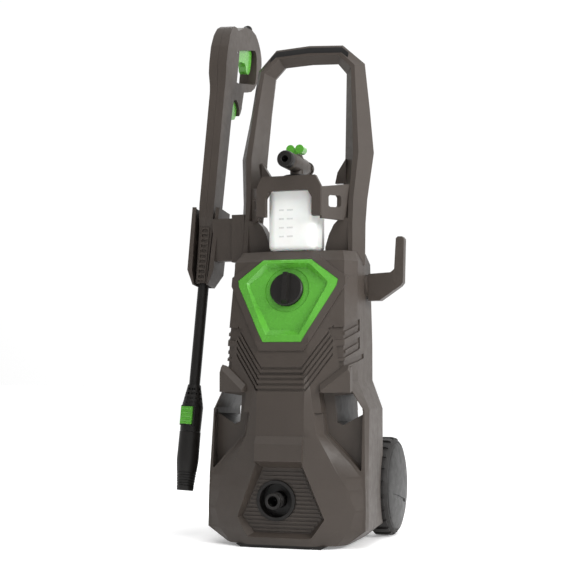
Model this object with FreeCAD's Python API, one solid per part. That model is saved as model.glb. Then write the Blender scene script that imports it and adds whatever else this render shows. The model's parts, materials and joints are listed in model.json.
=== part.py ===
import FreeCAD, Part
import math
import os
from FreeCAD import Vector

# Upright electric pressure washer with its spray gun, lance and foam bottle stowed on it.
# Millimetres. X is across the machine (+X on the right when facing its front), the front looks
# towards -Y, +Z is up. The origin is on the floor, on the mid-plane, at the middle of the base.

os.makedirs("parts", exist_ok=True)

# ---------------------------------------------------------------- driving dimensions
WALL = 3.0                 # moulded shell wall
GAP = 0.3                  # clearance between separate mouldings
DECK_Z = 458.0             # top deck that the foam bottle stands on
SPLIT_Y = 2.0              # joint plane between the front and the rear shell
HANDLE_TOP_Z = 811.0

WHEEL_R = 80.0
WHEEL_INNER_X = 97.0
WHEEL_OUTER_X = 135.0
WHEEL_FACE_R = 70.0
AXLE_Y = 108.0
AXLE_R = 6.0
RUNNING_FIT = 0.05         # radial clearance of a turning fit

KNOB_Z = 397.0
KNOB_R = 26.5
PORT_X = -9.5              # high-pressure outlet, low on the front
PORT_Z = 71.0
PORT_COLLAR_R = 31.0
OUTLET_R = 12.3
OUTLET_BORE_R = 8.0
INLET_X = -30.0            # water inlet on the rear hump
INLET_Z = 56.0
GLAND_X = 50.0             # cable gland on the rear hump
GLAND_Z = 120.0

PUMP_Y = 12.0              # pump axis, vertical, on the mid-plane
GEAR_MODULE = 1.5
GEAR_TEETH = 40
PINION_TEETH = 12
MOTOR_Y = PUMP_Y - GEAR_MODULE * (GEAR_TEETH + PINION_TEETH) / 2
SHAFT_R = 5.0

GUN_POINT = Vector(-167.0, 10.0, 470.0)      # a point on the axis of the stowed gun and lance
GUN_UP = Vector(0.045, 0.12, 1.0).normalize()
LANCE_R = 9.0

# Half outlines, front centre to rear centre, of the tower at four heights: (z, [(x, y), ...])
TOWER = [
    (458, [(36, -50), (82, -41), (96, -16), (98, 40), (84, 55)]),
    (441, [(39, -69), (90, -61), (103, -28), (104, 46), (90, 60)]),
    (313, [(40, -98), (95, -80), (103, -30), (106, 50), (92, 64)]),
    (205, [(40, -105), (97, -84), (104, -30), (106, 50), (92, 64)]),
]
# The flared lower body behind the nose
WINGS = [
    (254, [(40, -100), (97, -79), (103, -30), (106, 50), (92, 63)]),
    (209, [(52, -84), (123, -68), (128, -56), (124, 44), (104, 62)]),
    (108, [(52, -90), (126, -78), (129, -66), (124, 44), (104, 62)]),
    (27, [(52, -92), (127, -80), (129, -66), (124, 44), (104, 60)]),
    (5, [(50, -90), (96, -78), (98, -66), (96, 44), (80, 56)]),
]
# The prow-shaped nose: centre flat, inner ridge, outer ridge and a hidden rear corner
NOSE = [
    (262, [(38, -104), (43, -100), (48, -88), (48, -60)]),
    (240, [(38, -106), (46, -101), (57, -84), (57, -60)]),
    (173, [(38, -110), (56, -102), (66, -78), (66, -60)]),
    (108, [(38, -114), (90, -93), (126, -77), (126, -60)]),
    (88, [(38, -115), (102, -91), (127, -77), (127, -60)]),
    (57, [(40, -116), (112, -88), (127.5, -78), (127.5, -60)]),
    (27, [(44, -115), (104, -90), (127, -78), (127, -60)]),
    (5, [(48, -110), (84, -95), (96, -78), (96, -60)]),
]
# Rear hump over the pump, between the wheels
HUMP = [
    (210, [(60, 40), (60, 52), (50, 60)]),
    (150, [(74, 40), (74, 88), (60, 98)]),
    (5, [(74, 40), (74, 88), (60, 98)]),
]
# Through windows in the lower wings, and the sunk faces below them: (x, z)
WINDOW = [(76, 230), (106, 235), (120, 212), (119, 205), (88, 186), (79, 190)]
WINDOW_REAR = [(76, 231), (109, 233), (120.5, 209), (120.5, 196), (90, 184), (79, 190)]
WING_POCKET = [(59, 236), (67, 173), (119, 117), (120.5, 119), (120.5, 208), (106, 236)]
# Control panel outline: (x, z)
PANEL = [(39, 443), (82, 411), (80, 401), (31, 313.5), (-31, 313.5), (-80, 401), (-82, 411), (-39, 443)]
# Recess round the high-pressure outlet: (x, z)
RECESS = [(37, 131), (76, 43), (53, 15), (-53, 15), (-76, 43), (-37, 131)]
RECESS_FLOOR_Y = -95.0
RECESS_TAPER = 0.85


# ---------------------------------------------------------------- helpers
def wire(points):
    corners = [Vector(*p) for p in points]
    return Part.makePolygon(corners + [corners[0]])


def prism(points, direction):
    return Part.Face(wire(points)).extrude(Vector(*direction))


def loft(sections):
    return Part.makeLoft([wire(s) for s in sections], True, True)


def box(x0, x1, y0, y1, z0, z1):
    return Part.makeBox(x1 - x0, y1 - y0, z1 - z0, Vector(x0, y0, z0))


def rod(radius, start, direction, length):
    return Part.makeCylinder(radius, length, Vector(*start), Vector(*direction))


def tube(outer, inner, start, direction, length):
    return rod(outer, start, direction, length).cut(rod(inner, start, direction, length))


def cone(r0, r1, start, direction, length):
    return Part.makeCone(r0, r1, length, Vector(*start), Vector(*direction))


def turned(profile, centre, axis_z_to=(0, 0, 1)):
    """A solid of revolution. profile is (radius, height) points; height runs along axis_z_to."""
    face = Part.Face(wire([(r, 0, h) for r, h in profile]))
    solid = face.revolve(Vector(0, 0, 0), Vector(0, 0, 1), 360)
    turn = FreeCAD.Rotation(Vector(0, 0, 1), Vector(*axis_z_to))
    solid.Placement = FreeCAD.Placement(Vector(*centre), turn)
    return solid


def fuse(*shapes):
    return shapes[0].multiFuse(list(shapes[1:])).removeSplitter()


def mirrored(shape):
    return shape.mirror(Vector(0, 0, 0), Vector(1, 0, 0))


def both_sides(shape):
    return fuse(shape, mirrored(shape))


def group(*shapes):
    return Part.makeCompound(list(shapes))


def frame_at(origin, x_axis, y_axis, z_axis):
    return FreeCAD.Placement(FreeCAD.Matrix(
        x_axis.x, y_axis.x, z_axis.x, origin.x,
        x_axis.y, y_axis.y, z_axis.y, origin.y,
        x_axis.z, y_axis.z, z_axis.z, origin.z,
        0, 0, 0, 1))


def placed(shape, placement):
    moved = shape.copy()
    moved.Placement = placement.multiply(moved.Placement)
    return moved


def section(half, z, inset=0.0):
    """A closed left-right symmetric outline at height z, drawn in by inset on every side."""
    right = [(x - inset, y + inset if y < 0 else y - inset, z) for x, y in half]
    return right + [(-x, y, z) for x, y, z in reversed(right)]


def body_loft(levels, inset=0.0, top_inset=0.0):
    """Loft through the levels. The ends are moved in by top_inset so that a shell keeps its roof."""
    heights = [z for z, _ in levels]
    sections = []
    for z, half in levels:
        height = z - top_inset if z == max(heights) else z
        sections.append(section(half, height, inset))
    return loft(sections)


# Frame of the control panel: local x across, local y up the panel, local z out of it
PANEL_UP = Vector(0, 29, 128).normalize()
PANEL_OUT = Vector(1, 0, 0).cross(PANEL_UP)
PANEL_PLACE = frame_at(Vector(0, -79.0, KNOB_Z), Vector(1, 0, 0), PANEL_UP, PANEL_OUT)

# Frame of the gun: local x across the gun, local y towards its grip (backwards), local z up its axis
GUN_BACK = (Vector(0, 1, 0) - GUN_UP * GUN_UP.y).normalize()
GUN_SIDE = GUN_BACK.cross(GUN_UP)
GUN_PLACE = frame_at(GUN_POINT, GUN_SIDE, GUN_BACK, GUN_UP)


# ---------------------------------------------------------------- outer casing
def outline_prism(outline, y0, y1, grow=1.0):
    return prism(scaled_outline(outline, grow, y0), (0, y1 - y0, 0))


def nested_band(half_width, base_z, drop, slope):
    """A U-shaped groove outline: level in the middle, rising outwards to the tower's corners."""
    reach = 110.0
    rise = (reach - half_width) * slope
    upper = [(reach, base_z + rise), (half_width, base_z), (-half_width, base_z), (-reach, base_z + rise)]
    lower = [(-reach, base_z + rise - drop), (-half_width, base_z - drop),
             (half_width, base_z - drop), (reach, base_z + rise - drop)]
    return prism([(x, -150, z) for x, z in upper + lower], (0, 120, 0))


def front_grooves():
    """Five nested grooves, each a wide shallow step with a narrow deep one in it."""
    pitch = 8.2
    limit = box(-78, 78, -150, -30, 230, 350)
    steps = []
    for raised, drop, depth in ((1.2, 4.8, 0.8), (0.0, 2.4, 1.9)):
        bands = [nested_band(39.5 - 1.8 * i, 241.0 + raised + pitch * i, drop, 1.42) for i in range(5)]
        kept = fuse(body_loft(TOWER, depth), body_loft(NOSE, depth))
        steps.append(fuse(*bands).common(limit).cut(kept))
    return fuse(*steps)


def side_louvres():
    """Slanted louvre marks, sunk into both side walls."""
    marks = []
    for drop in (0, 28):
        outer = [(-84, 316 - drop), (-84, 335 - drop), (-20, 351 - drop), (-20, 332 - drop)]
        inner = [(-77, 323.5 - drop), (-77, 328.5 - drop), (-27, 341.5 - drop), (-27, 336.5 - drop)]
        ring = prism([(60, y, z) for y, z in outer], (60, 0, 0))
        marks.append(ring.cut(prism([(60, y, z) for y, z in inner], (60, 0, 0))))
    low = [(-84, 275), (-84, 284), (0, 297), (0, 289)]
    marks.append(prism([(60, y, z) for y, z in low], (60, 0, 0)))
    marks.append(box(94, 115, 55, 70, 330, 354))
    right = fuse(*marks).cut(body_loft(TOWER, 2.0))
    return both_sides(right)


def cheek():
    """Raised wedge beside the grooves, with the bright bevelled upper edge."""
    run = Vector(57, 21, 0).normalize()
    out = Vector(run.y, -run.x, 0)

    def at(x, z, h):
        return (x + out.x * h, -104.5 + (x - 40) * 21 / 57 + out.y * h, z)

    back = [(60, 236), (60, 248), (103, 283), (112, 268), (112, 238)]
    front = [(61, 234), (61, 239), (100, 271), (106, 262), (106, 236)]
    right = loft([[at(x, z, -5) for x, z in back], [at(x, z, 0) for x, z in back],
                  [at(x, z, 7.5) for x, z in front]])
    return both_sides(right.common(box(0, 106, -130, -40, 230, 300)))


def casing_outer():
    return fuse(body_loft(TOWER), body_loft(WINGS), body_loft(NOSE), body_loft(HUMP), cheek())


def casing_inner():
    tower = body_loft(TOWER, WALL, WALL)
    wings = body_loft(WINGS, WALL)
    nose = body_loft(NOSE, WALL, WALL)
    hump = body_loft(HUMP, WALL, 8.0)
    return fuse(tower, wings, nose, hump)


def surround():
    """Raised border round the control panel."""
    raised = body_loft([(z, half) for z, half in TOWER], -2.2)
    frame = outline_prism(PANEL, -150, -30, 1.17)
    slanted = frame.common(box(-110, 110, -150, -20, 296, 452))
    return raised.common(slanted)


def ledge():
    """Lintel above the outlet recess, with a sloping upper face."""
    points = ((-100, 129), (-118.5, 129), (-118.5, 158), (-108.5, 172), (-100, 172))
    return prism([(-38, y, z) for y, z in points], (76, 0, 0))


def scaled_outline(outline, grow, y):
    cx = sum(x for x, _ in outline) / len(outline)
    cz = sum(z for _, z in outline) / len(outline)
    return [(cx + (x - cx) * grow, y, cz + (z - cz) * grow) for x, z in outline]


def outlet_recess():
    """Recess with sloping walls."""
    return loft([scaled_outline(RECESS, 1.1, -130), scaled_outline(RECESS, 1.0, -117),
                 scaled_outline(RECESS, RECESS_TAPER, RECESS_FLOOR_Y)])


def recess_ribs():
    """Level ribs across the floor of the recess."""
    ribs = []
    for i in range(15):
        z = 25.0 + i * 6.2
        half = 45 + (z - 23) * 0.82 if z < 46 else 62.5 - (z - 46) * 0.44
        ribs.append(box(-half, half, RECESS_FLOOR_Y - 1.6, RECESS_FLOOR_Y + 0.5, z, z + 3.0))
    return fuse(*ribs)


def window_tunnels(grow):
    """The windows widen a little towards the rear."""
    tunnel = loft([scaled_outline(WINDOW, grow, -100), scaled_outline(WINDOW_REAR, grow, 90)])
    return both_sides(tunnel)


def wing_pockets(deeper=0.0, grow=1.0):
    """Sunk faces between the nose and the outer blades, deeper towards the blades."""
    opening = outline_prism(WING_POCKET, -140, -40, grow)
    front = prism([(x, y + deeper, 90) for x, y in ((50, -140), (50, -74), (66, -70), (130, -56), (130, -140))],
                  (0, 0, 170))
    return both_sides(opening.common(front))


def wheel_wells():
    well = rod(WHEEL_R + 5, (WHEEL_INNER_X - 5, AXLE_Y, WHEEL_R), (1, 0, 0), 60)
    return both_sides(well)


def casing():
    outer = fuse(casing_outer(), surround(), ledge())
    hollow = outer.cut(casing_inner())
    tunnel_walls = window_tunnels(1.14).common(outer)
    pocket_walls = wing_pockets(WALL, 1.06).common(outer)
    recess_walls = outline_prism(RECESS, -140, RECESS_FLOOR_Y + WALL, 1.06).common(outer)
    shell = fuse(hollow, tunnel_walls, pocket_walls, recess_walls)
    shell = shell.cut(window_tunnels(1.0)).cut(wing_pockets()).cut(outlet_recess())
    shell = fuse(shell, recess_ribs())
    port = rod(PORT_COLLAR_R - WALL + GAP, (PORT_X, RECESS_FLOOR_Y - 4, PORT_Z), (0, 1, 0), 12)
    seat = rod(PORT_COLLAR_R + GAP, (PORT_X, RECESS_FLOOR_Y - 6, PORT_Z), (0, 1, 0), 5.9)
    shell = shell.cut(port).cut(seat).cut(outline_prism(PANEL, -150, -40, 1.006))
    return shell.cut(front_grooves()).cut(side_louvres()).cut(wheel_wells())


def front_shell(shell):
    return shell.common(box(-150, 150, -150, SPLIT_Y - GAP / 2, 0, 500))


def rear_shell(shell):
    rear = shell.common(box(-150, 150, SPLIT_Y + GAP / 2, 150, 0, 500))
    for x, z, radius in ((INLET_X, INLET_Z, 15.3), (GLAND_X, GLAND_Z, 9.3)):
        rear = rear.cut(rod(radius, (x, 80, z), (0, 1, 0), 30))
    slots = [box(-48, 48, 50, 80, 300 + 12 * i, 306 + 12 * i) for i in range(9)]
    rear = fuse(rear, hook_boss()).cut(rod(7.0 + RUNNING_FIT, (90, HOOK_Y, HOOK_Z), (1, 0, 0), 30))
    return rear.cut(fuse(*slots))


def base_tray():
    """Floor of the casing with its foot skid and the two arms that carry the axle."""
    inset = 3.4
    plate = loft([section(half, z, inset) for z, half in
                  [(5.0, WINGS[-1][1]), (9.0, WINGS[-1][1])]])
    nose_plate = loft([section(NOSE[-1][1], z, inset) for z in (5.0, 9.0)])
    hump_plate = box(-70, 70, 40, 94, 5, 9)
    skid = prism([(x, -106, z) for x, z in ((-72, 5), (-64, 0), (64, 0), (72, 5))], (0, 196, 0))
    arm = prism([(78, y, z) for y, z in ((30, 5), (30, 40), (92, 100), (116, 100), (126, 88),
                                         (126, 68), (96, 5))], (10, 0, 0))
    arm = arm.common(box(78, 88, 57, 130, 5, 110))
    link = box(70, 88, 57, 94, 5, 9)
    tray = fuse(plate, nose_plate, hump_plate, skid, both_sides(fuse(arm, link)))
    tray = tray.cut(rod(AXLE_R, (-120, AXLE_Y, WHEEL_R), (1, 0, 0), 240))
    return tray


# ---------------------------------------------------------------- control panel
def panel_outline_local(grow, lift=0.0):
    """The panel's outline in its own frame, scaled about the knob."""
    points = []
    for x, z in PANEL:
        v = (z - KNOB_Z) / PANEL_UP.z
        points.append((x * grow, v * grow, lift))
    return points


def control_panel():
    skin = body_loft(TOWER, -1.6).cut(body_loft(TOWER, 2.4)).common(outline_prism(PANEL, -150, -40))
    front, floor = 6.0, -7.5
    bowl = loft([panel_outline_local(0.93, front), panel_outline_local(0.93, front - 7),
                 panel_outline_local(0.80, floor - 2.5)])
    bowl = placed(bowl, PANEL_PLACE).common(body_loft(TOWER, -1.6))
    dish = loft([panel_outline_local(0.93, 12), panel_outline_local(0.87, 1.5),
                 panel_outline_local(0.76, floor)])
    round_dish = turned([(0, floor - 1.6), (35, floor - 1.6), (41, floor + 6), (41, 12), (0, 12)], (0, 0, 0))
    shaft_hole = rod(6.0, (0, 0, -20), (0, 0, 1), 40)
    backing = rod(43, (0, 0, floor - 4), (0, 0, 1), 9)
    flange = body_loft(TOWER, WALL + GAP).cut(body_loft(TOWER, WALL + 2))
    flange = flange.common(outline_prism(PANEL, -150, -40, 1.05)).common(box(-90, 90, -150, -40, 300, 440))
    rim = body_loft(TOWER, 2.2).cut(body_loft(TOWER, WALL + 2)).common(outline_prism(PANEL, -150, -40))
    rim = rim.common(box(-90, 90, -150, -40, 300, 440))
    panel = fuse(skin, rim, flange, bowl, placed(backing, PANEL_PLACE))
    for tool in (dish, round_dish, shaft_hole):
        panel = panel.cut(placed(tool, PANEL_PLACE))
    return panel


def switch_knob():
    base_z = -8.6
    disc = turned([(0, base_z), (KNOB_R, base_z), (KNOB_R, base_z + 6), (KNOB_R - 2, base_z + 8),
                   (0, base_z + 8)], (0, 0, 0))
    grip = prism([(-6, -KNOB_R + 2, base_z + 7), (6, -KNOB_R + 2, base_z + 7), (4, -KNOB_R + 6, base_z + 17),
                  (-4, -KNOB_R + 6, base_z + 17)], (0, 2 * KNOB_R - 4, 0))
    taper = rod(KNOB_R - 1.5, (0, 0, base_z + 6), (0, 0, 1), 12)
    stem = rod(5.5, (0, 0, -24), (0, 0, 1), 24 + base_z + 2)
    return placed(fuse(disc, grip.common(taper), stem), PANEL_PLACE)


def rotary_switch():
    body = fuse(box(-21, 21, -21, 21, -58, -26), tube(9, 5.5 + RUNNING_FIT, (0, 0, -26), (0, 0, 1), 8))
    body = body.cut(rod(5.5 + RUNNING_FIT, (0, 0, -34), (0, 0, 1), 20))
    return placed(body, PANEL_PLACE)


# ---------------------------------------------------------------- handle and bracket
# Stations of the push handle's right half: (outer x, outer z), (inner x, inner z), rear y, depth
# and how far the outer edge lies in front of the rear face
HANDLE = [
    ((106, 437), (70, 437), 12, 34, 7),
    ((105, 505), (68, 505), 20, 36, 7),
    ((106, 545), (66, 545), 28, 37, 7),
    ((113.5, 622), (67, 615), 43, 38, 7),
    ((103, 700), (64.5, 700), 58, 37, 7),
    ((93, 776), (62, 761), 71, 34, 12),
    ((58, 807.5), (47, 779), 74, 30, 24),
    ((0, HANDLE_TOP_Z), (0, 781), 74, 30, 24),
]


def handle_station(outer, inner, rear_y, depth, edge, side=1):
    def at(t, y):
        x = outer[0] + (inner[0] - outer[0]) * t
        z = outer[1] + (inner[1] - outer[1]) * t
        return (side * x, y, z)
    return [at(0.0, rear_y - edge), at(0.38, rear_y - depth), at(0.58, rear_y - depth),
            at(1.0, rear_y - 13), at(0.9, rear_y), at(0.1, rear_y)]


def handle_frame():
    right = [handle_station(*station) for station in HANDLE]
    left = [handle_station(*station, side=-1) for station in reversed(HANDLE[:-1])]
    bow = loft(right + left)
    web = prism([(x, -16, z) for x, z in ((90, 452), (46, 452), (46, 466), (52, 486), (60, 502), (70, 512),
                                          (90, 512))], (0, 24, 0))
    catch = prism([(x, 14, z) for x, z in ((72, 612), (58, 590), (54, 572), (72, 572))], (0, 12, 0))
    whole = fuse(bow, both_sides(web), both_sides(catch))
    return whole.cut(grip_strip(36, 51, 797.4, 807.4, 1.0)).cut(body_loft(TOWER, -GAP))


def grip_strip(front_y, back_y, low, high, extra):
    """A bent strip along the front of the top bar. It is extra longer at each end."""
    path = ((-67 - extra, -11.5 - extra), (-57, -3.2), (0, 0), (57, -3.2), (67 + extra, -11.5 - extra))
    return loft([[(x, front_y, low + lift), (x, back_y, low + lift), (x, back_y, high + lift),
                  (x, front_y, high + lift)] for x, lift in path])


def handle_grip():
    """Soft strip let into the front of the handle's top bar."""
    return grip_strip(47, 50.9, 797.5, 807.3, 0.9)


ARCH_OUTER = [(-53, 512), (-53, 558), (-44, 576), (44, 576), (53, 558), (53, 512)]
ARCH_INNER = [(38, 512), (38, 541), (31, 553), (-31, 553), (-38, 541), (-38, 512)]


def bottle_bracket(handle):
    """Arch in front of the foam bottle, with a side plate back to each handle post."""
    arch = prism([(x, -66, z) for x, z in ARCH_OUTER + ARCH_INNER], (0, 11, 0))
    plate = prism([(49, -57, 508), (53, -60, 508), (88, 4, 508), (88, 14, 508), (84, 14, 508)], (0, 0, 65))
    window = prism([(40, y, z) for y, z in ((-46, 529), (-46, 543), (-43, 546), (-24, 547), (-21, 544),
                                            (-21, 531), (-24, 528), (-43, 527))], (60, 0, 0))
    sloped = prism([(40, y, z) for y, z in ((-70, 556), (-70, 600), (30, 600), (30, 573))], (60, 0, 0))
    side = plate.cut(window).cut(sloped)
    return fuse(arch, both_sides(side)).cut(handle)


# ---------------------------------------------------------------- foam bottle
BOTTLE_Y = -20.0
BOTTLE_HALF_X = 39.5
BOTTLE_HALF_Y = 33.0
FOAM_Z = 600.5


def rounded_block(half_x, half_y, corner, z0, z1, centre_y):
    block = box(-half_x, half_x, centre_y - half_y, centre_y + half_y, z0, z1)
    upright = [e for e in block.Edges if abs(e.tangentAt(e.FirstParameter).z) > 0.9]
    return block.makeFillet(corner, upright)


def detergent_bottle():
    body = rounded_block(BOTTLE_HALF_X, BOTTLE_HALF_Y, 14, DECK_Z + GAP, 562, BOTTLE_Y)
    ends = [e for e in body.Edges if abs(e.BoundBox.ZMax - e.BoundBox.ZMin) < 0.01]
    body = body.makeFillet(9, ends)
    neck = rod(16, (0, BOTTLE_Y, 555), (0, 0, 1), 22)
    inside = rounded_block(BOTTLE_HALF_X - 4, BOTTLE_HALF_Y - 4, 11, DECK_Z + 4, 558, BOTTLE_Y)
    bore = rod(13, (0, BOTTLE_Y, 550), (0, 0, 1), 40)
    return fuse(body, neck).cut(inside).cut(bore)


def bottle_collar():
    ring = tube(21, 16 + GAP, (0, BOTTLE_Y, 563), (0, 0, 1), 19)
    lip = tube(21, 11 + GAP, (0, BOTTLE_Y, 578), (0, 0, 1), 4)
    ribs = [rod(1.4, (21 * math.cos(a), BOTTLE_Y + 21 * math.sin(a), 564), (0, 0, 1), 16)
            for a in (math.radians(20 * i) for i in range(18))]
    return fuse(ring, lip, *ribs)


def foam_head():
    barrel = turned([(0, 0), (11.5, 0), (13.7, 10), (13.7, 78), (10.5, 90), (10.5, 108), (0, 108)],
                    (0, -70, FOAM_Z), (0, 1, 0))
    stem = rod(11, (0, BOTTLE_Y, 577.4), (0, 0, 1), 20)
    tower = cone(12, 9, (0, -22, FOAM_Z + 8), (0, 0, 1), 7)
    lugs = [box(-13, 13, 24, 29, FOAM_Z - 3, FOAM_Z + 3), tube(12.5, 9, (0, 31, FOAM_Z), (0, 1, 0), 4)]
    bore = rod(5, (0, -80, FOAM_Z), (0, 1, 0), 90)
    return fuse(barrel, stem, tower, *lugs).cut(bore)


def foam_nozzle():
    """Turning spray tip on the front of the foam head."""
    return turned([(5.5, 0), (11.8, 0), (13.5, 3), (13.7, 14), (5.5, 14), (5.5, 8), (8.5, 8), (8.5, 3), (5.5, 3)],
                  (0, -84.4, FOAM_Z), (0, 1, 0))


def foam_knob():
    """Two-lobed dosing knob on top of the foam head."""
    z = FOAM_Z + 15 + GAP
    hub = rod(8, (0, -22, z), (0, 0, 1), 8)
    lobes = [rod(7.2, (x, -31, z + 8), (0, 1, 0), 18) for x in (-7.6, 7.6)]
    trim = box(-20, 20, -40, 0, z + 0.8, z + 20)
    return fuse(hub, fuse(*lobes).common(trim))


# ---------------------------------------------------------------- outlet, inlet and gland
def port_collar():
    y = RECESS_FLOOR_Y - 4.5
    cup = tube(PORT_COLLAR_R, PORT_COLLAR_R - 3.4, (PORT_X, y, PORT_Z), (0, 1, 0), 4.2)
    barrel = tube(PORT_COLLAR_R - WALL - 0.1, PORT_COLLAR_R - 5.4, (PORT_X, y, PORT_Z), (0, 1, 0), 22)
    back = tube(PORT_COLLAR_R - 4, OUTLET_R + GAP, (PORT_X, y + 19, PORT_Z), (0, 1, 0), 3)
    return fuse(cup, barrel, back)


def outlet_nipple():
    body = tube(OUTLET_R, OUTLET_BORE_R, (PORT_X, -114, PORT_Z), (0, 1, 0), 46)
    collar = tube(OUTLET_R + 3, OUTLET_BORE_R, (PORT_X, -76.5, PORT_Z), (0, 1, 0), 5)
    threads = [turned([(OUTLET_R - 1, 0), (OUTLET_R + 0.9, 1.1), (OUTLET_R - 1, 2.2)],
                      (PORT_X, -110 + 3.0 * i, PORT_Z), (0, 1, 0)) for i in range(5)]
    return fuse(body, collar, *threads)


def water_inlet():
    body = fuse(tube(12, 6.5, (INLET_X, 96, INLET_Z), (0, 1, 0), 8),
                tube(12, 8.0, (INLET_X, 104, INLET_Z), (0, 1, 0), 18))
    nut = tube(15, 6.5, (INLET_X, 94, INLET_Z), (0, 1, 0), 9)
    stem = tube(10, 6.5, (INLET_X, 36, INLET_Z), (0, 1, 0), 59)
    rings = [turned([(11, 0), (13, 1.1), (11, 2.2)], (INLET_X, 106 + 3.2 * i, INLET_Z), (0, 1, 0)) for i in range(4)]
    return fuse(body, nut, stem, *rings)


def inlet_filter():
    return turned([(0, 0), (5.8, 0), (4.6, 14), (0, 14)], (INLET_X, 104, INLET_Z), (0, -1, 0))


def cable_gland():
    body = tube(9, 4.6, (GLAND_X, 84, GLAND_Z), (0, 1, 0), 22)
    nut = tube(12.5, 4.6, (GLAND_X, 98.5, GLAND_Z), (0, 1, 0), 6)
    dome = turned([(4.6, 0), (11, 0), (8, 12), (4.6, 12)], (GLAND_X, 104.5, GLAND_Z), (0, 1, 0))
    return fuse(body, nut, dome)


# ---------------------------------------------------------------- wheels
WHEEL_CENTRE = (0, AXLE_Y, WHEEL_R)


def on_axle(shape, side):
    """Wheel pieces are drawn about the local z axis, which becomes +X or -X on the machine."""
    turn = FreeCAD.Rotation(Vector(0, 0, 1), Vector(side, 0, 0))
    return placed(shape, FreeCAD.Placement(Vector(*WHEEL_CENTRE), turn))


def tyre(side):
    ring = turned([(66, WHEEL_INNER_X), (74, WHEEL_INNER_X), (77, WHEEL_INNER_X + 4), (77, 125), (75.5, 129.5),
                   (72.5, 132.5), (WHEEL_FACE_R + GAP, 132.5), (WHEEL_FACE_R + GAP, 128), (66, 128)],
                  (0, 0, 0))
    lugs = []
    count = 24
    for i in range(count):
        lug = box(74, WHEEL_R, -6, 6, WHEEL_INNER_X + 2, 128)
        lug.rotate(Vector(0, 0, 0), Vector(0, 0, 1), 360 / count * i)
        lugs.append(lug)
    rounded = turned([(70, 92), (76, 96), (WHEEL_R, 101), (WHEEL_R, 123), (78.5, 128), (74, 131), (70, 131)],
                     (0, 0, 0))
    return on_axle(fuse(ring, *[lug.common(rounded) for lug in lugs]), side)


def wheel_rim(side):
    rim = turned([(59, 98), (66, 98), (66, 128), (59, 128)], (0, 0, 0))
    hub = turned([(AXLE_R + RUNNING_FIT, 93), (15, 93), (15, 128), (AXLE_R + RUNNING_FIT, 128)], (0, 0, 0))
    spokes = []
    for i in range(6):
        spoke = box(12, 61, -2, 2, 100, 126)
        spoke.rotate(Vector(0, 0, 0), Vector(0, 0, 1), 60 * i)
        spokes.append(spoke)
    disc = turned([(14, 126), (61, 126), (61, 128), (14, 128)], (0, 0, 0))
    return on_axle(fuse(rim, hub, disc, *spokes), side)


def wheel_cover(side):
    """Plain domed cover over the outer face, with one long slanted slot."""
    cover = turned([(0, 129.6), (10, 129.6), (50, 128.2), (WHEEL_FACE_R, 128.2), (WHEEL_FACE_R, 132.2),
                    (68, 134), (60, 136), (34, 138.8), (0, 139.8)], (0, 0, 0))
    slot = prism([(-50, -14, 132), (-48, -8, 132), (28, -23, 132), (30, -29, 132)], (0, 0, 12))
    floor = turned([(0, 130), (72, 130), (72, 130.6), (60, 134.2), (34, 137), (0, 138)], (0, 0, 0))
    cup = turned([(0, 129), (9, 129), (9, 133), (0, 133)], (0, 0, 0))
    shape = on_axle(cover.cut(cup), 1).cut(slot_on_wheel(slot.cut(floor)))
    return shape if side > 0 else mirrored(shape)


def slot_on_wheel(slot):
    """The slot is drawn in (y, z) from the hub's centre with its depth along X."""
    turn = frame_at(Vector(*WHEEL_CENTRE), Vector(0, 1, 0), Vector(0, 0, 1), Vector(1, 0, 0))
    return placed(slot, turn)


def axle():
    half = 128.6
    bar = rod(AXLE_R, (-half, AXLE_Y, WHEEL_R), (1, 0, 0), 2 * half)
    grooves = tube(AXLE_R + 1, AXLE_R - 1, (half - 4, AXLE_Y, WHEEL_R), (1, 0, 0), 2)
    return bar.cut(both_sides(grooves))


def axle_clips():
    """Sprung washers that keep the axle in the tray's arms, just inside the wheels."""
    ring = tube(10, AXLE_R, (88.3, AXLE_Y, WHEEL_R), (1, 0, 0), 2.0)
    return group(ring, mirrored(ring))


# ---------------------------------------------------------------- cable hook
HOOK_Y = 24.0
HOOK_Z = 404.0


def hook_boss():
    """Boss on the right side wall that the cable hook turns in."""
    return rod(19, (98, HOOK_Y, HOOK_Z), (1, 0, 0), 10).cut(body_loft(TOWER, 1.0))


def cable_hook():
    x0 = 108.4
    arm = prism([(x, HOOK_Y - 10, z) for x, z in ((x0, 386), (x0, 424), (145, 426), (151, 431), (154, 480),
                                                  (157, 483), (164, 483), (167, 479), (165, 409), (161, 404),
                                                  (127, 381), (x0, 381))], (0, 20, 0))
    slimmer = prism([(x, y, 370) for x, y in ((x0 - 1, HOOK_Y - 10), (150, HOOK_Y - 10), (168, HOOK_Y - 8),
                                             (168, HOOK_Y + 8), (150, HOOK_Y + 10), (x0 - 1, HOOK_Y + 10))],
                    (0, 0, 130))
    pin = rod(7.0, (96.5, HOOK_Y, HOOK_Z), (1, 0, 0), 14)
    return fuse(arm.common(slimmer), pin)


# ---------------------------------------------------------------- gun holster
def lance_holster(handle):
    """Open-fronted cup that the gun drops into, on an arm from the left handle post."""
    top, waist, bottom = 68.0, -38.0, -62.0

    def ring(half_x, front, back, z):
        return [(-half_x, front, z), (half_x, front, z), (half_x, back, z), (-half_x, back, z)]

    outer = loft([ring(24, -21, 30, top), ring(23, -21, 28, waist), ring(13.5, -16, 17, bottom)])
    inner = loft([ring(21, -18, 27, top + 1), ring(20, -18, 25, waist), ring(11.5, -13, 14, bottom - 1)])
    mouth = loft([ring(17.5, -40, -10, top + 1), ring(15, -40, -10, waist), ring(10.6, -40, 0, bottom - 1)])
    cup = outer.cut(inner).cut(mouth)
    cup = placed(cup, GUN_PLACE)
    arm = box(-150, -92, -8, 13, 449, 519).cut(placed(outer, GUN_PLACE))
    clamp = box(-114, -92, -14, 20, 446, 524)
    return fuse(cup, arm, clamp).cut(handle).cut(body_loft(TOWER, -GAP))


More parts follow.
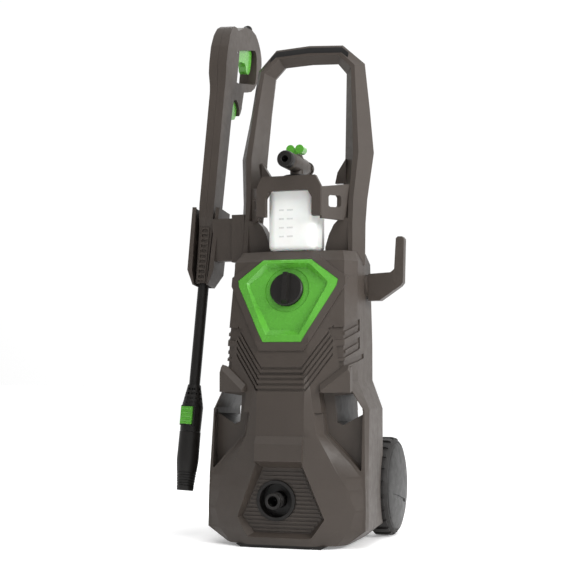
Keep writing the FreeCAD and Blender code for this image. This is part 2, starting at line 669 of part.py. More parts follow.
# ---------------------------------------------------------------- gun (local frame)
GUN_OUTLINE = [(-12, -58), (-12.5, 36), (-17, 52), (-18.5, 72), (-18.5, 264), (-19.5, 280), (-25, 300),
               (-27, 318), (-26, 345), (-20, 368), (-10, 384), (2, 392), (14, 394), (22, 391), (52, 409),
               (88, 418.5), (111, 417), (122, 412), (132.5, 405), (141, 397), (145.5, 386), (146, 372),
               (141, 355), (132, 338), (117.5, 319), (102, 308), (83, 300.5), (68, 296), (69.5, 266),
               (65, 256), (60, 250), (57, 262), (48, 270.5), (38, 273), (29.5, 268), (26, 256), (25, 236),
               (20.5, 72), (14, 36), (11, -4), (10.5, -58)]
GUN_OPENING = [(29, 301), (28.6, 345), (28.6, 358.7), (109.4, 387.5), (115, 384), (118.6, 376), (120, 352),
               (119.6, 330), (114, 325), (60, 309), (36, 301.5)]
TRIGGER_SLOT = [(15.5, 335), (15.5, 361), (24, 366), (36, 374), (60, 385), (99, 402), (118, 402), (118, 335)]
TRIGGER_PIVOT = (22.5, 352.0)         # local (y, z)
GUN_INLET_START = Vector(0, 33, 387.3)
GUN_INLET_AXIS = Vector(0, 0.883, 0.469).normalize()
GUN_INLET_LENGTH = 78.0


def gun_half(side):
    """One half of the gun's handle housing, hollow for the valve and the tube."""
    inner, outer = (0.1, 16.5) if side > 0 else (-16.5, -0.1)
    outline = prism([(inner, y, z) for y, z in GUN_OUTLINE], (outer - inner, 0, 0))
    opening = prism([(inner - 1, y, z) for y, z in GUN_OPENING], (outer - inner + 2, 0, 0))
    sides = prism([(side * x, -60, z) for x, z in ((-1, -60), (9.5, -60), (10.5, -6), (12.4, 50), (13.2, 76),
                                                   (13.2, 270), (15.6, 300), (15.8, 350), (14.6, 376),
                                                   (12.6, 396), (12, 425), (-1, 425))], (0, 260, 0))
    channel = rod(LANCE_R + GAP, (0, 0, -70), (0, 0, 1), 84)
    cavity = box(-9, 9, -10, 22, 10, 250)
    valve_pocket = box(-9, 9, -10, 22.5, 249, 352)
    slot = prism([(-7.5, y, z) for y, z in TRIGGER_SLOT], (15, 0, 0))
    passage = rod(7.0, GUN_INLET_START, GUN_INLET_AXIS, GUN_INLET_LENGTH)
    mouth = rod(8.8, GUN_INLET_START + GUN_INLET_AXIS * (GUN_INLET_LENGTH - 12), GUN_INLET_AXIS, 30)
    stem_hole = box(-4.5, 4.5, 19, 30, 243.4, 254.6)
    pin_hole = rod(3.0, (-18, TRIGGER_PIVOT[0], TRIGGER_PIVOT[1]), (1, 0, 0), 36)
    half = outline.cut(opening).common(sides)
    for tool in (channel, cavity, valve_pocket, slot, passage, mouth, stem_hole, pin_hole):
        half = half.cut(tool)
    ladder = nose_ladder().common(box(inner, outer, -20, 0, -60, 40))
    return placed(fuse(half, ladder), GUN_PLACE)


def nose_ladder():
    """Ladder of small ribs down the front of the gun's nose."""
    ribs = [box(-6.2, 6.2, -14.4, -11.6, -54 + 8.6 * i, -50.4 + 8.6 * i) for i in range(11)]
    rails = [box(x - 0.9, x + 0.9, -14.4, -11.6, -56, 35) for x in (-6.2, 6.2)]
    return fuse(*ribs, *rails)


def gun_valve():
    body = fuse(box(-8, 8, -9, 21, 262, 300), rod(7, (0, 6, 254), (0, 0, 1), 92))
    return placed(body.cut(rod(3, (0, 6, 250), (0, 0, 1), 60)), GUN_PLACE)


def gun_tube():
    """Rigid pipe from the valve down to the lance socket."""
    pipe = tube(4.5, 3, (0, 0, 16), (0, 0, 1), 228)
    socket = tube(8.6, 6.4, (0, 0, 5), (0, 0, 1), 16)
    web = tube(6.8, 4.5, (0, 0, 15), (0, 0, 1), 4)
    return placed(fuse(pipe, socket, web), GUN_PLACE)


def gun_inlet():
    """Threaded hose inlet at the end of the grip."""
    mouth = 20.0
    neck = GUN_INLET_LENGTH - mouth
    pipe = tube(7.0, 3.2, GUN_INLET_START, GUN_INLET_AXIS, neck)
    end = tube(7.0, 4.5, GUN_INLET_START + GUN_INLET_AXIS * neck, GUN_INLET_AXIS, mouth)
    thread = [turned([(6.2, 0), (8.4, 1), (6.2, 2)],
                     GUN_INLET_START + GUN_INLET_AXIS * (GUN_INLET_LENGTH - 10.6 + 2.6 * i), GUN_INLET_AXIS)
              for i in range(4)]
    return placed(fuse(pipe, end, *thread), GUN_PLACE)


def trigger():
    """Lever under the grip, hinged beside the barrel, with a hooked free end."""
    points = [(17.5, 347), (17.5, 357), (23, 360.5), (34, 366), (60, 374), (100, 387.5), (106, 388), (110, 380),
              (112, 364), (110.5, 350), (105, 342), (97, 339.5), (90.5, 342), (87, 350), (80, 353.5),
              (67, 350.5), (51.5, 346.5), (34, 340), (24, 343)]
    lever = prism([(-7, y, z) for y, z in points], (14, 0, 0))
    y, z = TRIGGER_PIVOT
    return placed(lever.cut(rod(3.0 + RUNNING_FIT, (-8, y, z), (1, 0, 0), 16)), GUN_PLACE)


def trigger_pin():
    y, z = TRIGGER_PIVOT
    return placed(rod(3.0, (-15, y, z), (1, 0, 0), 30), GUN_PLACE)


def lance_release():
    """Green button behind the forearm that frees the lance, with a stem into the barrel."""
    pad = prism([(-9, y, z) for y, z in ((27.3, 240), (27.6, 255), (31, 266), (38.5, 271), (47, 268.6),
                                         (54.5, 260.5), (56, 250), (50, 241), (40, 237))], (18, 0, 0))
    stem = box(-4, 4, 18, 29, 244, 254)
    return placed(fuse(pad, stem), GUN_PLACE)


# ---------------------------------------------------------------- lance and nozzle (local frame)
NOZZLE_TOP = -226.0


def lance_tube():
    pipe = tube(LANCE_R, 4.0, (0, 0, NOZZLE_TOP - 38), (0, 0, 1), 38 - NOZZLE_TOP)
    plug = tube(6.0, 3.0, (0, 0, -2), (0, 0, 1), 16)
    ears = [box(-8.4, 8.4, -2.2, 2.2, -1, 3)]
    return placed(fuse(pipe, plug, *ears).cut(rod(3.0, (0, 0, -5), (0, 0, 1), 30)), GUN_PLACE)


def nozzle_head():
    """Finned cone and button block at the end of the lance."""
    cone_body = turned([(9.05, NOZZLE_TOP), (10.5, NOZZLE_TOP), (17.5, NOZZLE_TOP - 36), (17.0, NOZZLE_TOP - 66),
                        (16.6, NOZZLE_TOP - 76), (6, NOZZLE_TOP - 76), (6, NOZZLE_TOP - 40), (9.05, NOZZLE_TOP - 40)],
                       (0, 0, 0))
    cuts = [tube(24, 9.6 + 2.0 * i, (0, 0, NOZZLE_TOP - 9 - 7.4 * i), (0, 0, 1), 3.4) for i in range(4)]
    fins = fuse(*[box(x - 1.0, x + 1.0, -20, 20, NOZZLE_TOP - 36, NOZZLE_TOP) for x in (-7, 0, 7)],
                *[box(-20, 20, y - 1.0, y + 1.0, NOZZLE_TOP - 36, NOZZLE_TOP) for y in (-7, 0, 7)])
    body = cone_body.cut(fuse(*cuts).cut(fins))
    block = box(-11.5, 11.5, -20.5, -8, NOZZLE_TOP - 67, NOZZLE_TOP - 35)
    well = box(-10.3, 10.3, -25, -13.5, NOZZLE_TOP - 65.4, NOZZLE_TOP - 36.6)
    rebore = rod(9.05, (0, 0, NOZZLE_TOP - 40), (0, 0, 1), 44)
    return placed(fuse(body, block).cut(well).cut(rebore), GUN_PLACE)


def nozzle_button():
    """Ribbed square button that frees the nozzle sleeve."""
    pad = box(-10, 10, -24.5, -16.6, NOZZLE_TOP - 65.1, NOZZLE_TOP - 36.9)
    ribs = [box(-8, 8, -25.6, -24, NOZZLE_TOP - 60.5 + 6.4 * i, NOZZLE_TOP - 58.3 + 6.4 * i) for i in range(4)]
    return placed(fuse(pad, *ribs), GUN_PLACE)


def nozzle_sleeve():
    """Turning outer sleeve of the variable nozzle."""
    top = NOZZLE_TOP - 76 - GAP
    low = -397.0
    profile = [(6.2, top), (17.2, top), (17.8, top - 46), (13.4, low + 0.6), (12.8, low), (9.5, low),
               (9.5, low + 12), (6.2, low + 12)]
    body = turned(profile, (0, 0, 0))
    rings = [tube(20, 13.2 + 0.40 * i, (0, 0, low + 8 + 4.2 * i), (0, 0, 1), 1.2) for i in range(6)]
    return placed(body.cut(fuse(*rings)), GUN_PLACE)


def nozzle_tip():
    """Brass insert inside the sleeve."""
    top = NOZZLE_TOP - 70
    body = turned([(1.0, top), (6.0 - GAP, top), (6.0 - GAP, -392), (4.5, -394), (1.0, -394)], (0, 0, 0))
    return placed(body, GUN_PLACE)


# ---------------------------------------------------------------- motor and pump
def gear(teeth, centre_y, z, thickness, bore):
    """Straight-flanked spur gear with backlash, drawn about a vertical axis on the mid-plane."""
    pitch_r = GEAR_MODULE * teeth / 2
    outer_r = pitch_r + 0.85 * GEAR_MODULE
    root_r = pitch_r - 1.15 * GEAR_MODULE
    step = 2 * math.pi / teeth
    half_tooth = 0.21 * step
    points = []
    for i in range(teeth):
        a = i * step
        lean = 0.075 * step * (1 + 4 / teeth)
        for radius, angle in ((root_r, -half_tooth - lean), (outer_r, -half_tooth + 1.6 * lean),
                              (outer_r, half_tooth - 1.6 * lean), (root_r, half_tooth + lean)):
            points.append((radius * math.cos(a + angle), radius * math.sin(a + angle), 0))
    solid = prism(points, (0, 0, thickness))
    solid = solid.cut(rod(bore, (0, 0, -1), (0, 0, 1), thickness + 2))
    return solid, Vector(0, centre_y, z)


def drive_gear():
    """Large gear with the swash plate under it, on the pump's axis."""
    wheel, centre = gear(GEAR_TEETH, PUMP_Y, 141.0, 11.0, SHAFT_R)
    wheel.rotate(Vector(0, 0, 0), Vector(0, 0, 1), 90 + 180 / GEAR_TEETH)
    wheel.translate(centre)
    stub = rod(SHAFT_R, (0, PUMP_Y, 129), (0, 0, 1), 34.8)
    plate = rod(26, (0, PUMP_Y, 132), (0, 0, 1), 9)
    under = prism([(-30, y, z) for y, z in ((PUMP_Y - 30, 130), (PUMP_Y + 30, 130), (PUMP_Y + 30, 138),
                                            (PUMP_Y - 30, 132.4))], (60, 0, 0))
    return fuse(wheel, plate.cut(under), stub)


def pinion():
    wheel, centre = gear(PINION_TEETH, MOTOR_Y, 140.5, 12.0, SHAFT_R)
    wheel.rotate(Vector(0, 0, 0), Vector(0, 0, 1), 90)
    wheel.translate(centre)
    return wheel


def motor_shaft():
    return rod(SHAFT_R, (0, MOTOR_Y, 134), (0, 0, 1), 172)


def rotor():
    core = tube(27, SHAFT_R, (0, MOTOR_Y, 184), (0, 0, 1), 66)
    commutator = tube(15, SHAFT_R, (0, MOTOR_Y, 256), (0, 0, 1), 16)
    winding = tube(21, SHAFT_R, (0, MOTOR_Y, 178), (0, 0, 1), 78)
    return fuse(core, commutator, winding)


def cooling_fan():
    hub = tube(12, SHAFT_R, (0, MOTOR_Y, 290), (0, 0, 1), 10)
    disc = tube(36, SHAFT_R, (0, MOTOR_Y, 290), (0, 0, 1), 2)
    blades = []
    for i in range(9):
        blade = box(10, 35, -0.8, 0.8, 291, 300)
        blade.rotate(Vector(0, 0, 0), Vector(0, 0, 1), 40 * i)
        blade.translate(Vector(0, MOTOR_Y, 0))
        blades.append(blade)
    return fuse(hub, disc, *blades)


def motor_housing():
    can = tube(41, 28.5, (0, MOTOR_Y, 172), (0, 0, 1), 90)
    foot = tube(41, 13.2, (0, MOTOR_Y, 164.2), (0, 0, 1), 8)
    cap = tube(41, 13.2, (0, MOTOR_Y, 276), (0, 0, 1), 8)
    posts = [rod(4, (34 * math.cos(a), MOTOR_Y + 34 * math.sin(a), 261), (0, 0, 1), 16)
             for a in (math.radians(45 + 90 * i) for i in range(4))]
    return fuse(can, foot, cap, *posts)


def motor_bearings():
    rings = [tube(13.2, SHAFT_R + RUNNING_FIT, (0, MOTOR_Y, z), (0, 0, 1), 7) for z in (164.6, 276.6)]
    rings.append(tube(11, SHAFT_R + RUNNING_FIT, (0, PUMP_Y, 156.6), (0, 0, 1), 7))
    return group(*rings)


def carbon_brushes():
    return group(*[box(x - 3, x + 3, MOTOR_Y - 4, MOTOR_Y + 4, 259, 269) for x in (-19, 19)])


def gearbox_housing():
    """Cup round the gears, closed by a lid that carries the bearings."""
    outer = fuse(rod(38, (0, PUMP_Y, 127), (0, 0, 1), 37), rod(22, (0, MOTOR_Y, 127), (0, 0, 1), 37))
    inner = fuse(rod(34, (0, PUMP_Y, 126), (0, 0, 1), 30), rod(18, (0, MOTOR_Y, 130), (0, 0, 1), 26))
    holes = fuse(rod(11, (0, PUMP_Y, 150), (0, 0, 1), 20), rod(13.2, (0, MOTOR_Y, 150), (0, 0, 1), 20))
    return outer.cut(inner).cut(holes)


PISTON_RADIUS = 17.0


def piston_positions():
    return [(PISTON_RADIUS * math.cos(math.radians(90 + 120 * i)),
             PUMP_Y + PISTON_RADIUS * math.sin(math.radians(90 + 120 * i))) for i in range(3)]


def pump_housing():
    block = fuse(rod(38, (0, PUMP_Y, 86), (0, 0, 1), 40.8), box(-24, 24, PUMP_Y - 50, PUMP_Y, 50, 86),
                 box(-42, 42, PUMP_Y - 36, PUMP_Y + 36, 42, 92))
    for x, y in piston_positions():
        block = block.cut(rod(6.05, (x, y, 62), (0, 0, 1), 80)).cut(rod(10.2, (x, y, 100), (0, 0, 1), 40))
    block = block.cut(rod(8.0, (PORT_X, -60, PORT_Z), (0, 1, 0), 30))
    return block.cut(rod(10.0, (INLET_X, 36, INLET_Z), (0, 1, 0), 40))


def pistons():
    return group(*[fuse(rod(6.0, (x, y, 66), (0, 0, 1), 62), rod(8.6, (x, y, 124.6), (0, 0, 1), 3.6))
                   for x, y in piston_positions()])


def piston_springs():
    """Return springs, each drawn as a stack of rings."""
    springs = []
    for x, y in piston_positions():
        coils = [tube(9.2, 7.2, (x, y, 100.4 + 3.0 * i), (0, 0, 1), 1.8) for i in range(8)]
        spine = tube(8.6, 7.8, (x, y, 100.4), (0, 0, 1), 23)
        springs.append(fuse(spine, *coils))
    return group(*springs)


def outlet_pipe():
    return tube(7.9, 5.0, (PORT_X, -68, PORT_Z), (0, 1, 0), 34)


def unloader_valve():
    body = rod(11, (42, PUMP_Y - 6, 70), (1, 0, 0), 24)
    return fuse(body, rod(7, (42, PUMP_Y - 6, 70), (1, 0, 0), 34))


def pressure_switch():
    return fuse(box(43, 64, PUMP_Y - 22, PUMP_Y + 12, 87, 112), rod(3, (52, PUMP_Y - 6, 81), (0, 0, 1), 8))


def capacitor():
    return rod(16, (-44, 34, 196), (0, 0, 1), 52)


def rubber_mounts():
    return group(*[rod(9, (x, PUMP_Y + y, 9), (0, 0, 1), 33) for x in (-27, 27) for y in (-25, 25)])


def casing_screws():
    """Screws through the rear shell into the front shell, heads on the rear face."""
    spots = ((-84, 58.0, 420), (84, 58.0, 420), (-86, 62.2, 300), (86, 62.2, 300))
    return group(*[fuse(rod(4, (x, y, z), (0, 1, 0), 3.4), rod(2, (x, y - 18, z), (0, 1, 0), 18.2))
                   for x, y, z in spots])


# ---------------------------------------------------------------- write every piece
def save(name, shape):
    shape.exportStep("parts/" + name + ".step")


def main():
    shell = casing()
    handle = handle_frame()
    screws = casing_screws()
    save("front_shell", front_shell(shell))
    tray = base_tray()
    save("rear_shell", rear_shell(shell).cut(screws).cut(tray))
    save("casing_screws", screws)
    save("base_tray", tray)
    save("control_panel", control_panel())
    save("switch_knob", switch_knob())
    save("rotary_switch", rotary_switch())
    save("handle_frame", handle)
    save("handle_grip", handle_grip())
    save("bottle_bracket", bottle_bracket(handle))
    save("lance_holster", lance_holster(handle))
    save("cable_hook", cable_hook())
    save("port_collar", port_collar())
    save("outlet_nipple", outlet_nipple())
    save("water_inlet", water_inlet())
    save("inlet_filter", inlet_filter())
    save("cable_gland", cable_gland())
    save("axle", axle())
    save("axle_clips", axle_clips())
    for name, side in (("left", -1), ("right", 1)):
        save(name + "_tyre", tyre(side))
        save(name + "_wheel_rim", wheel_rim(side))
        save(name + "_wheel_cover", wheel_cover(side))
    for maker in (detergent_bottle, bottle_collar, foam_head, foam_nozzle, foam_knob, gun_valve, gun_tube,
                  gun_inlet, trigger, trigger_pin, lance_release, lance_tube, nozzle_head,
                  nozzle_button, nozzle_sleeve, nozzle_tip, drive_gear, pinion, motor_shaft, rotor,
                  cooling_fan, motor_housing, motor_bearings, carbon_brushes, gearbox_housing, pump_housing,
                  pistons, piston_springs, outlet_pipe, unloader_valve, pressure_switch, capacitor,
                  rubber_mounts):
        save(maker.__name__, maker())
    save("gun_shell_left", gun_half(-1))
    save("gun_shell_right", gun_half(1))


main()
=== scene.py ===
import json
import math

import bpy
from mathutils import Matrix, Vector


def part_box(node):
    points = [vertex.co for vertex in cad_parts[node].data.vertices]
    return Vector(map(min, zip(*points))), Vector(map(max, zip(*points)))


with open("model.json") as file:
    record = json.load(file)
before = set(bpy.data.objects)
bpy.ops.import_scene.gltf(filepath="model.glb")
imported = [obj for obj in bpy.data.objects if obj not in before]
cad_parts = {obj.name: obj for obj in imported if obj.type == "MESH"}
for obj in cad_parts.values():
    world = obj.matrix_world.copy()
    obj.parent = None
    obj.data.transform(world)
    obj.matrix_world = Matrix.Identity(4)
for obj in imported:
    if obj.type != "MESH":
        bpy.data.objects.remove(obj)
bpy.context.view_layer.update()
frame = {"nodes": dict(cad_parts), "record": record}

NODES = frame["nodes"]
SLOT_OF = {s["node"]: s["material_slot"] for s in frame["record"]["subparts"]}


# ---------------------------------------------------------------- materials
class Nodes:
    """Small helper round a material's node tree."""

    def __init__(self, name):
        self.material = bpy.data.materials.new(name)
        self.material.use_nodes = True
        self.tree = self.material.node_tree
        self.shader = self.tree.nodes["Principled BSDF"]
        self.coords = self.tree.nodes.new("ShaderNodeTexCoord").outputs["Object"]

    def add(self, kind, inputs=None, **props):
        """New node with its inputs set to values or linked to sockets."""
        node = self.tree.nodes.new(kind)
        for key, value in props.items():
            setattr(node, key, value)
        for key, value in (inputs or {}).items():
            if isinstance(value, bpy.types.NodeSocket):
                self.tree.links.new(value, node.inputs[key])
            else:
                node.inputs[key].default_value = value
        return node

    def noise(self, scale, detail=3.0, roughness=0.55, stretch=None):
        vector = self.coords
        if stretch:
            vector = self.add("ShaderNodeMapping", {"Vector": vector, "Scale": stretch}).outputs[0]
        return self.add("ShaderNodeTexNoise", {"Vector": vector, "Scale": scale, "Detail": detail,
                                               "Roughness": roughness}).outputs["Fac"]

    def ramp(self, fac, low, high, a=0.0, b=1.0):
        """Map low..high to a..b."""
        return self.add("ShaderNodeMapRange", {"Value": fac, "From Min": low, "From Max": high,
                                               "To Min": a, "To Max": b}).outputs[0]

    def blend(self, fac, a, b):
        """Colour mix. The colour sockets of the mix node are 0, 6 and 7, and the result is 2."""
        node = self.add("ShaderNodeMix", data_type="RGBA")
        for index, value in ((0, fac), (6, a), (7, b)):
            if isinstance(value, bpy.types.NodeSocket):
                self.tree.links.new(value, node.inputs[index])
            else:
                node.inputs[index].default_value = value
        return node.outputs[2]

    def bump(self, height, distance, strength=1.0, normal=None):
        inputs = {"Height": height, "Distance": distance, "Strength": strength}
        if normal:
            inputs["Normal"] = normal
        return self.add("ShaderNodeBump", inputs).outputs[0]

    def set(self, **inputs):
        """Set the shader's sockets by name, with _ for a space."""
        for key, value in inputs.items():
            socket = self.shader.inputs[key.replace("_", " ")]
            if isinstance(value, bpy.types.NodeSocket):
                self.tree.links.new(value, socket)
            else:
                socket.default_value = value
        return self.material


def shade(color, k):
    """Colour made lighter or darker by a factor."""
    return (color[0] * k, color[1] * k, color[2] * k, 1.0)


def moulded(name, color, rough=0.5, grain=0.00006, grain_scale=1900.0, mottle=0.07, specular=0.4):
    """Moulded plastic with a fine spark-eroded grain, faint flow mottling and light handling scuffs."""
    m = Nodes(name)
    broad = m.ramp(m.noise(14.0, 4.0), 0.35, 0.65)
    fine = m.ramp(m.noise(420.0, 2.0), 0.3, 0.7)
    base = m.blend(broad, shade(color, 1 - mottle), shade(color, 1 + mottle))
    base = m.blend(m.ramp(fine, 0.0, 1.0, 0.0, 0.35), base, shade(color, 1.16))
    scuffs = m.ramp(m.noise(60.0, 6.0, 0.7, (1.0, 1.0, 0.25)), 0.62, 0.78)
    base = m.blend(m.ramp(scuffs, 0.0, 1.0, 0.0, 0.25), base, shade(color, 1.45))
    roughness = m.ramp(m.noise(90.0, 3.0), 0.3, 0.7, rough - 0.05, rough + 0.06)
    grainy = m.bump(m.noise(grain_scale, 2.0, 0.6), grain, 0.6)
    soft = m.bump(m.noise(35.0, 2.0), 0.00025, 0.35, grainy)
    m.set(Base_Color=base, Roughness=roughness, Normal=soft, Specular_IOR_Level=specular)
    return m.material


def metal(name, color, rough, brushed=(1.0, 1.0, 30.0)):
    """Metal with fine streaks and faint spots."""
    m = Nodes(name)
    streak = m.noise(320.0, 3.0, 0.6, brushed)
    spots = m.ramp(m.noise(45.0, 4.0), 0.35, 0.7)
    base = m.blend(spots, shade(color, 0.86), shade(color, 1.06))
    roughness = m.ramp(streak, 0.3, 0.7, rough - 0.08, rough + 0.1)
    m.set(Base_Color=base, Roughness=roughness, Normal=m.bump(streak, 0.00004, 0.5), Metallic=1.0)
    return m.material


MARK_ROWS = 4
MARK_FIRST, MARK_PITCH, MARK_HALF_HEIGHT = 0.023, 0.014, 0.0013
MARK_LEFT, MARK_RIGHT = (-0.0155, 0.0040), (-0.0015, 0.0050)      # centre and half width
MARK_FRONT_Y = -0.045


def graduation(m, base_z):
    """Mask of four rows of two short printed dashes on the bottle's front face."""
    axes = m.add("ShaderNodeSeparateXYZ", {"Vector": m.coords}).outputs

    def math_node(operation, a, b):
        return m.add("ShaderNodeMath", {0: a, 1: b}, operation=operation).outputs[0]

    def near(value, centre, half):
        return m.add("ShaderNodeMath", {0: value, 1: centre, 2: half}, operation="COMPARE").outputs[0]

    first = base_z + MARK_FIRST
    rows = near(axes[2], first, MARK_HALF_HEIGHT)
    for i in range(1, MARK_ROWS):
        rows = math_node("ADD", rows, near(axes[2], first + MARK_PITCH * i, MARK_HALF_HEIGHT))
    columns = math_node("ADD", near(axes[0], *MARK_LEFT), near(axes[0], *MARK_RIGHT))
    front = math_node("LESS_THAN", axes[1], MARK_FRONT_Y)
    return math_node("MULTIPLY", math_node("MULTIPLY", rows, columns), front)


def bottle_material(name, base_z):
    """Milky blow-moulded polyethylene."""
    m = Nodes(name)
    cloud = m.ramp(m.noise(24.0, 4.0), 0.35, 0.65)
    base = m.blend(cloud, (0.80, 0.79, 0.765, 1), (0.87, 0.86, 0.84, 1))
    worn = m.ramp(m.noise(700.0, 2.0), 0.35, 0.65, 0.2, 0.5)
    marks = m.add("ShaderNodeMath", {0: graduation(m, base_z), 1: worn}, operation="MULTIPLY").outputs[0]
    base = m.blend(marks, base, (0.22, 0.22, 0.22, 1))
    m.set(Base_Color=base, Roughness=m.ramp(m.noise(120.0, 3.0), 0.3, 0.7, 0.34, 0.46),
          Normal=m.bump(m.noise(45.0, 3.0), 0.0004, 0.5), Subsurface_Weight=0.15, Subsurface_Scale=0.012)
    return m.material


def glossy(name, color, rough=0.24):
    """Polished coloured plastic with a clear surface, faint orange peel and hairline scuffs."""
    m = Nodes(name)
    broad = m.ramp(m.noise(22.0, 4.0), 0.3, 0.7)
    base = m.blend(broad, shade(color, 0.94), shade(color, 1.06))
    hair = m.ramp(m.noise(150.0, 5.0, 0.7, (1.0, 1.0, 0.1)), 0.64, 0.72)
    base = m.blend(m.ramp(hair, 0.0, 1.0, 0.0, 0.2), base, shade(color, 1.5))
    roughness = m.ramp(m.noise(110.0, 3.0), 0.3, 0.7, rough - 0.04, rough + 0.07)
    peel = m.bump(m.noise(260.0, 2.0), 0.00005, 0.5)
    m.set(Base_Color=base, Roughness=roughness, Normal=peel, Coat_Weight=0.35, Coat_Roughness=0.12)
    return m.material


BODY = (0.0470, 0.0375, 0.0310, 1.0)
DARK = (0.0085, 0.0074, 0.0066, 1.0)
GREEN = (0.085, 0.335, 0.032, 1.0)
BOTTLE_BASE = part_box("detergent_bottle")[0][2]
MATERIALS = {
    "body_plastic": moulded("body_plastic_grain", BODY, 0.48, specular=0.34),
    "dark_plastic": moulded("dark_plastic_satin", DARK, 0.44, grain=0.00004, specular=0.32),
    "green_plastic": glossy("green_plastic_gloss", GREEN),
    "bottle_plastic": bottle_material("milky_bottle", BOTTLE_BASE),
    "tyre": moulded("tyre_rubber", (0.0125, 0.0110, 0.0100, 1), 0.70, grain=0.00010, grain_scale=1200.0,
                    mottle=0.12),
    "rubber": moulded("soft_rubber", (0.0080, 0.0075, 0.0072, 1), 0.75, grain=0.00008),
    "steel": metal("zinc_steel", (0.50, 0.50, 0.51, 1), 0.32),
    "brass": metal("turned_brass", (0.62, 0.46, 0.20, 1), 0.28),
    "aluminium": metal("cast_aluminium", (0.58, 0.58, 0.59, 1), 0.42, (1, 1, 1)),
    "laminations": metal("motor_laminations", (0.22, 0.20, 0.19, 1), 0.50),
    "carbon": moulded("carbon_block", (0.02, 0.02, 0.02, 1), 0.60),
}


# ---------------------------------------------------------------- modifiers
def smooth_by_angle(obj, degrees=32.0):
    """Geometry nodes that shade smooth except across edges sharper than the angle."""
    name = "smooth_%d" % degrees
    tree = bpy.data.node_groups.get(name)
    if tree is None:
        tree = bpy.data.node_groups.new(name, "GeometryNodeTree")
        tree.interface.new_socket("Geometry", in_out="INPUT", socket_type="NodeSocketGeometry")
        tree.interface.new_socket("Geometry", in_out="OUTPUT", socket_type="NodeSocketGeometry")
        start, end = tree.nodes.new("NodeGroupInput"), tree.nodes.new("NodeGroupOutput")
        angle = tree.nodes.new("GeometryNodeInputMeshEdgeAngle")
        compare = tree.nodes.new("FunctionNodeCompare")
        compare.data_type, compare.operation = "FLOAT", "LESS_THAN"
        compare.inputs[1].default_value = math.radians(degrees)
        faces = tree.nodes.new("GeometryNodeSetShadeSmooth")
        faces.domain = "FACE"
        edges = tree.nodes.new("GeometryNodeSetShadeSmooth")
        edges.domain = "EDGE"
        link = tree.links.new
        link(start.outputs[0], faces.inputs["Geometry"])
        link(faces.outputs[0], edges.inputs["Geometry"])
        link(angle.outputs["Unsigned Angle"], compare.inputs[0])
        link(compare.outputs[0], edges.inputs["Shade Smooth"])
        link(edges.outputs[0], end.inputs[0])
    mod = obj.modifiers.new("smooth", "NODES")
    mod.node_group = tree


WELD_DISTANCE = 2e-5
FLAT_ANGLE = math.radians(1.0)         # facets closer than this are one face
BEVEL_ANGLE = math.radians(28.0)       # sharper edges than this are rounded


def soften(obj, width, segments, merge_flat):
    """Weld the facets, merge flat ones, round the edges and shade by angle."""
    weld = obj.modifiers.new("weld", "WELD")
    weld.merge_threshold = WELD_DISTANCE
    if merge_flat:
        merge = obj.modifiers.new("merge", "DECIMATE")
        merge.decimate_type = "DISSOLVE"
        merge.angle_limit = FLAT_ANGLE
    if width:
        bevel = obj.modifiers.new("round", "BEVEL")
        bevel.width = width
        bevel.segments = segments
        bevel.limit_method = "ANGLE"
        bevel.angle_limit = BEVEL_ANGLE
        bevel.use_clamp_overlap = True
        bevel.miter_outer = "MITER_ARC"
    smooth_by_angle(obj, 40.0)
    weighted = obj.modifiers.new("weighted", "WEIGHTED_NORMAL")
    weighted.keep_sharp = True
    weighted.weight = 100


# Edge radius in metres. Zero leaves a node's edges as they are.
ROUNDING = {
    "front_shell": 0.0012, "handle_frame": 0.0022, "bottle_bracket": 0.0012, "lance_holster": 0.0012,
    "cable_hook": 0.0022, "gun_shell_left": 0.0009, "gun_shell_right": 0.0009, "control_panel": 0.0014,
    "detergent_bottle": 0.003, "foam_knob": 0.003, "foam_head": 0.0015, "nozzle_button": 0.0008,
    "trigger": 0.0018, "switch_knob": 0.0015, "base_tray": 0.0008, "rear_shell": 0, "lance_release": 0,
}
FINE_ROUNDING = 0.0004
# Merging flat facets spoils the shading of these.
UNMERGED = {"rear_shell", "gun_shell_left", "gun_shell_right", "lance_release"}
# Nodes whose looks differ from their slot in the record.
FINISH = {"switch_knob": "dark_plastic", "outlet_nipple": "dark_plastic", "handle_grip": "rubber"}
for name, node in NODES.items():
    node.data.materials.clear()
    node.data.materials.append(MATERIALS[FINISH.get(name, SLOT_OF[name])])
    soften(node, ROUNDING.get(name, FINE_ROUNDING), 2 if name in ROUNDING else 1, name not in UNMERGED)


# ---------------------------------------------------------------- floor, light and camera
FLOOR_REACH = 20.0
TARGET = (0, 0, 0.4)                   # the lamps aim at the middle of the machine
LAMPS = (                              # name, place, side of the square, power
    ("key_right", (2.4, -0.7, 1.4), 1.0, 50),
    ("top_front", (0.5, -1.2, 2.6), 1.4, 26),
    ("rear", (-0.6, 2.2, 1.8), 1.6, 12),
)
SKY_BRIGHT_SIDE = (0.36, 0.74, 0.57)
SENSOR_MM = 36.0
LENS_MM = 81.675393
CLIP_END = 60
EYE = (0.6257, -2.0002, 0.2695)
AZIMUTH, ELEVATION = math.radians(18.0), math.radians(-3.7)


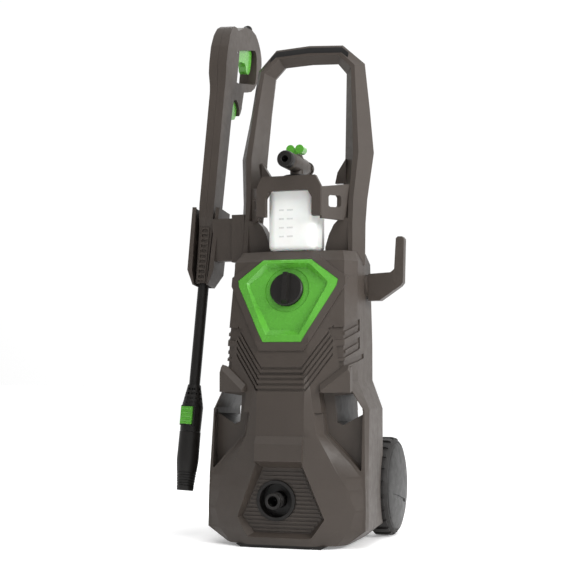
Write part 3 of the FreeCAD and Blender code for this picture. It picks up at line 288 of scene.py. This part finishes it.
def pale_floor():
    """Large white floor with faint mottling and a little light of its own."""
    r = FLOOR_REACH
    mesh = bpy.data.meshes.new("floor")
    mesh.from_pydata([(-r, -r, 0), (r, -r, 0), (r, r, 0), (-r, r, 0)], [], [(0, 1, 2, 3)])
    floor = bpy.data.objects.new("floor", mesh)
    bpy.context.scene.collection.objects.link(floor)
    m = Nodes("pale_floor")
    base = m.blend(m.ramp(m.noise(3.0), 0.3, 0.7), (0.93, 0.93, 0.93, 1), (0.95, 0.95, 0.95, 1))
    m.set(Base_Color=base, Roughness=0.9, Specular_IOR_Level=0.1, Emission_Color=(1, 1, 1, 1),
          Emission_Strength=0.22)
    mesh.materials.append(m.material)


def white_sky():
    """White surroundings, brightest behind and above the machine."""
    world = bpy.data.worlds.new("studio")
    bpy.context.scene.world = world
    world.use_nodes = True
    sky = world.node_tree
    background = sky.nodes["Background"]
    background.inputs["Color"].default_value = (1, 1, 1, 1)
    direction = sky.nodes.new("ShaderNodeTexCoord")
    toward = sky.nodes.new("ShaderNodeVectorMath")
    toward.operation = "DOT_PRODUCT"
    toward.inputs[1].default_value = SKY_BRIGHT_SIDE
    fade = sky.nodes.new("ShaderNodeMapRange")
    for key, value in (("From Min", -0.7), ("From Max", 0.5), ("To Min", 0.14), ("To Max", 1.02)):
        fade.inputs[key].default_value = value
    sky.links.new(direction.outputs["Generated"], toward.inputs[0])
    sky.links.new(toward.outputs["Value"], fade.inputs["Value"])
    sky.links.new(fade.outputs[0], background.inputs["Strength"])


def aim(obj, place, direction):
    """Put an object at a place so that it looks along a direction."""
    obj.location = place
    obj.rotation_mode = "QUATERNION"
    obj.rotation_quaternion = direction.to_track_quat("-Z", "Y")
    bpy.context.scene.collection.objects.link(obj)


def lamps():
    for name, place, size, energy in LAMPS:
        light = bpy.data.lights.new(name, "AREA")
        light.shape, light.size, light.energy = "SQUARE", size, energy
        aim(bpy.data.objects.new(name, light), place, Vector(TARGET) - Vector(place))


def camera():
    cam = bpy.data.cameras.new("camera")
    cam.sensor_width = SENSOR_MM
    cam.lens = LENS_MM
    cam.clip_end = CLIP_END
    eye = bpy.data.objects.new("camera", cam)
    level = math.cos(ELEVATION)
    aim(eye, EYE, -Vector((math.sin(AZIMUTH) * level, -math.cos(AZIMUTH) * level, math.sin(ELEVATION))))
    bpy.context.scene.camera = eye


pale_floor()
white_sky()
lamps()
camera()
bpy.context.scene.view_settings.view_transform = "Standard"

bpy.context.view_layer.update()
